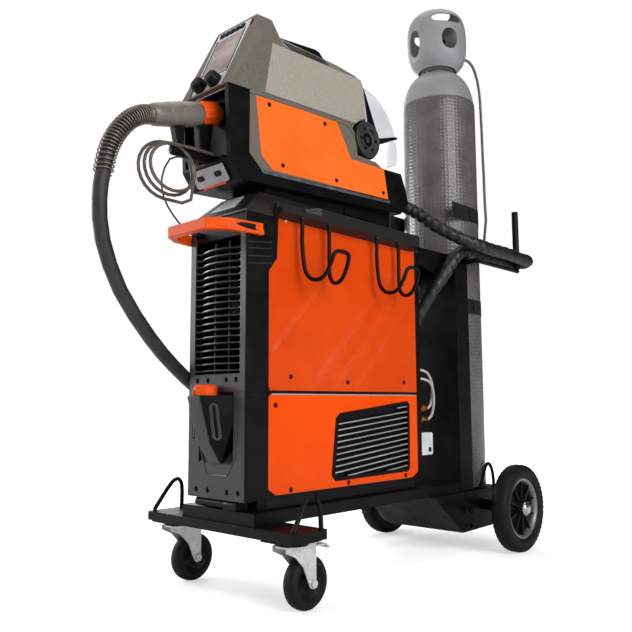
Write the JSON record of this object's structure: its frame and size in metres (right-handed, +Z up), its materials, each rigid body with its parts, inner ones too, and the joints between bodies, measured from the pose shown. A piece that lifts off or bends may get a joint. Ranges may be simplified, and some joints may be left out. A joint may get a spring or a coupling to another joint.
{
  "type": "mig welder on cart",
  "caption": "Water-cooled MIG welder on a four-wheel cart: power source over a coolant unit, wire feeder on top, gun cable in front and a gas cylinder behind.",
  "frame": {"origin": "on the floor, at the middle of the length from the front handle to the rear end of the cable bundle, on the cart's centre plane", "axes": "+X from the front handle to the gas cylinder, +Y to the far side, +Z up"},
  "size_m": [1.4187, 0.53, 1.6883],
  "materials": {
    "black_steel": "satin",
    "strap": "woven",
    "zinc": "satin",
    "tyre": "matt",
    "screw": "satin",
    "black_plastic": "matt",
    "grey_plastic": "matt",
    "orange_paint": "semi-gloss",
    "orange_plastic": "satin",
    "warm_grey": "fine texture",
    "frosted": "frosted",
    "red_plastic": "satin",
    "alu": "bare",
    "brass": "satin",
    "cylinder_grey": "satin",
    "guard_grey": "satin",
    "rubber": "matt",
    "spring": "satin"
  },
  "bodies": {
    "chassis": {"cart_frame": "black_steel", "front_crossmember": "black_steel", "axle_bracket": "black_steel", "cylinder_upright": "black_steel", "cylinder_straps": "strap", "fasteners": "screw", "cooler_case": "black_plastic", "cooler_front": "grey_plastic", "cooler_side_panels": "orange_paint", "cooler_grilles": "black_plastic", "coolant_tank": "grey_plastic", "coolant_circuit": "alu", "power_case": "black_plastic", "power_side_panels": "orange_paint", "front_grille": "grey_plastic", "front_handle": "orange_plastic", "top_cover": "grey_plastic", "rear_panel": "black_plastic", "power_modules": "alu", "side_rails": "black_steel", "cable_hooks": "black_steel", "feeder_mount": "black_plastic", "feeder_base": "black_plastic", "feeder_side_panels": "orange_paint", "feed_unit": "black_plastic", "gun_connector": "grey_plastic", "bend_spring": "spring", "gun_cable": "rubber", "gun_cable_coil": "rubber", "welding_gun": "grey_plastic", "control_loops": "rubber", "sense_cable": "rubber", "gas_cylinder": "cylinder_grey", "valve_guard": "guard_grey", "cylinder_valve": "brass", "gas_hose": "rubber", "cable_bundle": "rubber"},
    "near_swivel": {"caster_fork_near": "zinc"},
    "far_swivel": {"caster_fork_far": "zinc"},
    "near_caster_wheel": {"caster_wheel_near": "tyre"},
    "far_caster_wheel": {"caster_wheel_far": "tyre"},
    "brake": {"brake_pedal": "zinc"},
    "near_rear_wheel": {"rear_wheel_near": "tyre"},
    "far_rear_wheel": {"rear_wheel_far": "tyre"},
    "filler_cap": {"filler_cap": "orange_plastic"},
    "cooler_fan": {"cooler_fan": "black_plastic"},
    "main_fan": {"main_fan": "black_plastic"},
    "main_switch": {"main_switch": "red_plastic"},
    "feeder_hood": {"feeder_cover": "warm_grey", "carry_grip": "black_plastic", "control_pad": "grey_plastic"},
    "spool_cover": {"spool_cover": "frosted"},
    "spool_hub": {"spool_hub": "black_plastic"},
    "drive_roll": {"drive_roll": "brass"},
    "left_knob": {"pad_knob_left": "black_plastic"},
    "right_knob": {"pad_knob_right": "black_plastic"},
    "pad_buttons": {"pad_buttons": "black_plastic"},
    "locking_nut": {"locking_nut": "orange_plastic"},
    "gun_trigger": {"gun_trigger": "orange_plastic"},
    "handwheel": {"handwheel": "black_plastic"}
  },
  "joints": [
    {"name": "near_swivel", "type": "hinge", "parent": "chassis", "child": "near_swivel", "pos_m": [-0.4685, -0.188, 0.13], "axis": [0, 0, 1], "continuous": true},
    {"name": "far_swivel", "type": "hinge", "parent": "chassis", "child": "far_swivel", "pos_m": [-0.4685, 0.188, 0.13], "axis": [0, 0, 1], "continuous": true},
    {"name": "near_caster_roll", "type": "hinge", "parent": "near_swivel", "child": "near_caster_wheel", "pos_m": [-0.4285, -0.188, 0.055], "axis": [0, 1, 0], "continuous": true},
    {"name": "far_caster_roll", "type": "hinge", "parent": "far_swivel", "child": "far_caster_wheel", "pos_m": [-0.4285, 0.188, 0.055], "axis": [0, 1, 0], "continuous": true},
    {"name": "brake_press", "type": "hinge", "parent": "near_swivel", "child": "brake", "pos_m": [-0.4245, -0.188, 0.122], "axis": [0, 1, 0], "range_deg": [0, 12]},
    {"name": "near_wheel_roll", "type": "hinge", "parent": "chassis", "child": "near_rear_wheel", "pos_m": [0.3915, -0.233, 0.12], "axis": [0, 1, 0], "continuous": true},
    {"name": "far_wheel_roll", "type": "hinge", "parent": "chassis", "child": "far_rear_wheel", "pos_m": [0.3915, 0.233, 0.12], "axis": [0, 1, 0], "continuous": true},
    {"name": "cap_turn", "type": "hinge", "parent": "chassis", "child": "filler_cap", "pos_m": [-0.5435, 0, 0.437], "axis": [0, 0, 1], "range_deg": [0, 120]},
    {"name": "cooler_fan_spin", "type": "hinge", "parent": "chassis", "child": "cooler_fan", "pos_m": [-0.0835, 0, 0.322], "axis": [0, 1, 0], "continuous": true},
    {"name": "main_fan_spin", "type": "hinge", "parent": "chassis", "child": "main_fan", "pos_m": [-0.4535, 0, 0.63], "axis": [1, 0, 0], "continuous": true},
    {"name": "switch_turn", "type": "hinge", "parent": "chassis", "child": "main_switch", "pos_m": [0.1065, 0, 0.72], "axis": [1, 0, 0], "range_deg": [0, 90]},
    {"name": "hood_lift", "type": "hinge", "parent": "chassis", "child": "feeder_hood", "pos_m": [-0.08568, 0, 1.10567], "axis": [0, 1, 0], "range_deg": [0, 55]},
    {"name": "spool_cover_lift", "type": "hinge", "parent": "chassis", "child": "spool_cover", "pos_m": [-0.08568, 0, 1.10567], "axis": [0, 1, 0], "range_deg": [-75, 0]},
    {"name": "spool_spin", "type": "hinge", "parent": "chassis", "child": "spool_hub", "pos_m": [-0.08568, 0, 1.10567], "axis": [0, 1, 0], "continuous": true},
    {"name": "drive_roll_spin", "type": "hinge", "parent": "chassis", "child": "drive_roll", "pos_m": [-0.38787, 0, 0.98669], "axis": [0, 1, 0], "continuous": true},
    {"name": "left_knob_turn", "type": "hinge", "parent": "feeder_hood", "child": "left_knob", "pos_m": [-0.54176, 0.025, 1.13117], "axis": [-0.9113, 0, 0.4116], "continuous": true},
    {"name": "right_knob_turn", "type": "hinge", "parent": "feeder_hood", "child": "right_knob", "pos_m": [-0.54176, -0.025, 1.13117], "axis": [-0.9113, 0, 0.4116], "continuous": true},
    {"name": "buttons_press", "type": "slide", "parent": "feeder_hood", "child": "pad_buttons", "axis": [0.9113, 0, -0.4116], "range_m": [0, 0.0015], "stiffness_N_per_m": 400},
    {"name": "nut_turn", "type": "hinge", "parent": "chassis", "child": "locking_nut", "pos_m": [-0.51462, 0, 1.07418], "axis": [-0.9563, 0, -0.2924], "range_deg": [0, 360]},
    {"name": "trigger_pull", "type": "hinge", "parent": "chassis", "child": "gun_trigger", "pos_m": [-0.3955, 0.16, 0.452], "axis": [0, 1, 0], "range_deg": [0, 5], "stiffness_Nm_per_rad": 0.2},
    {"name": "valve_turn", "type": "hinge", "parent": "chassis", "child": "handwheel", "pos_m": [0.3915, 0, 1.585], "axis": [0, 0, 1], "range_deg": [0, 720]}
  ]
}
